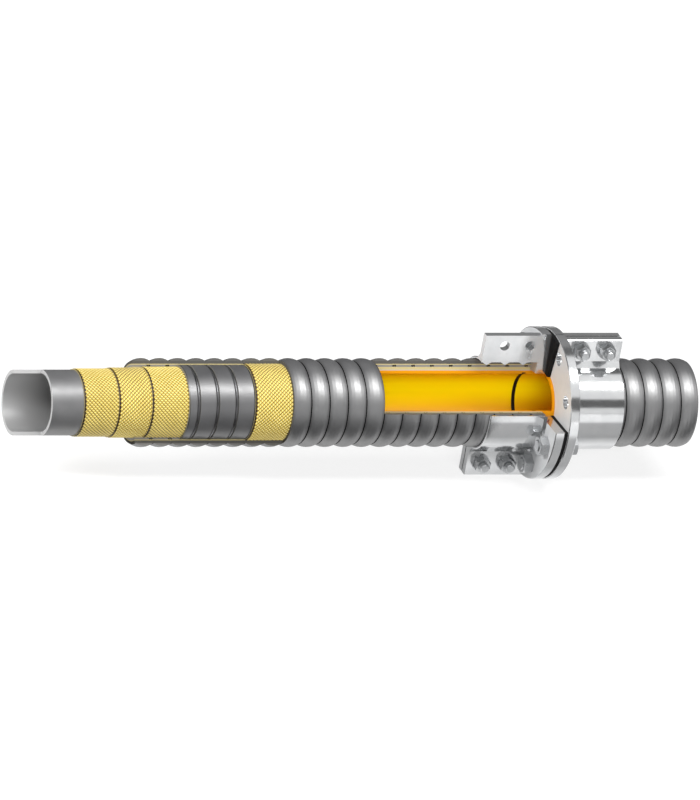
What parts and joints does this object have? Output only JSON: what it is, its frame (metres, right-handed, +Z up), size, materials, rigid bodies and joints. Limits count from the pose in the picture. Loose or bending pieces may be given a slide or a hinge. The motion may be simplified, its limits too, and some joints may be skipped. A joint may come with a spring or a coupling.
{
  "type": "sectioned abrasive hose with split-flange coupling",
  "caption": "Cut-away sample of a corrugated, wire-reinforced abrasive hose, with a second hose joined to it by a bolted split-flange coupling.",
  "frame": {"origin": "under the middle of the whole length, at the lower edges of the left coupling's lower lugs", "axes": "+X along the hoses towards the short hose's plain end, +Z up, -Y is the side that the cuts open"},
  "size_m": [0.94, 0.2, 0.201],
  "materials": {
    "cover_rubber": "satin moulded rubber",
    "cushion_rubber": "satin rubber",
    "tube_rubber": "satin rubber",
    "lining_rubber": "smooth natural rubber",
    "seal_rubber": "matt black rubber",
    "ply_cord": "rubbered cord fabric",
    "wire_steel": "drawn steel",
    "coupling_steel": "bright zinc plate",
    "fastener_steel": "zinc plate"
  },
  "bodies": {
    "root": {"left_cover": "cover_rubber", "left_outer_ply": "ply_cord", "left_wires": "wire_steel", "left_cushion": "cushion_rubber", "left_ply_3": "ply_cord", "left_ply_2": "ply_cord", "left_ply_1": "ply_cord", "left_tube": "tube_rubber", "left_lining": "lining_rubber", "right_cover": "cover_rubber", "right_outer_ply": "ply_cord", "right_wires": "wire_steel", "right_cushion": "cushion_rubber", "right_ply_3": "ply_cord", "right_ply_2": "ply_cord", "right_ply_1": "ply_cord", "right_tube": "tube_rubber", "right_lining": "lining_rubber", "seal_ring": "seal_rubber", "gasket": "seal_rubber", "left_front_half": "coupling_steel", "left_back_half": "coupling_steel", "right_front_half": "coupling_steel", "right_back_half": "coupling_steel", "hinge_pin": "fastener_steel", "flange_bolts": "fastener_steel", "flange_nuts": "fastener_steel", "lug_bolts": "fastener_steel", "lug_nuts": "fastener_steel", "lug_washers": "fastener_steel"}
  },
  "joints": []
}
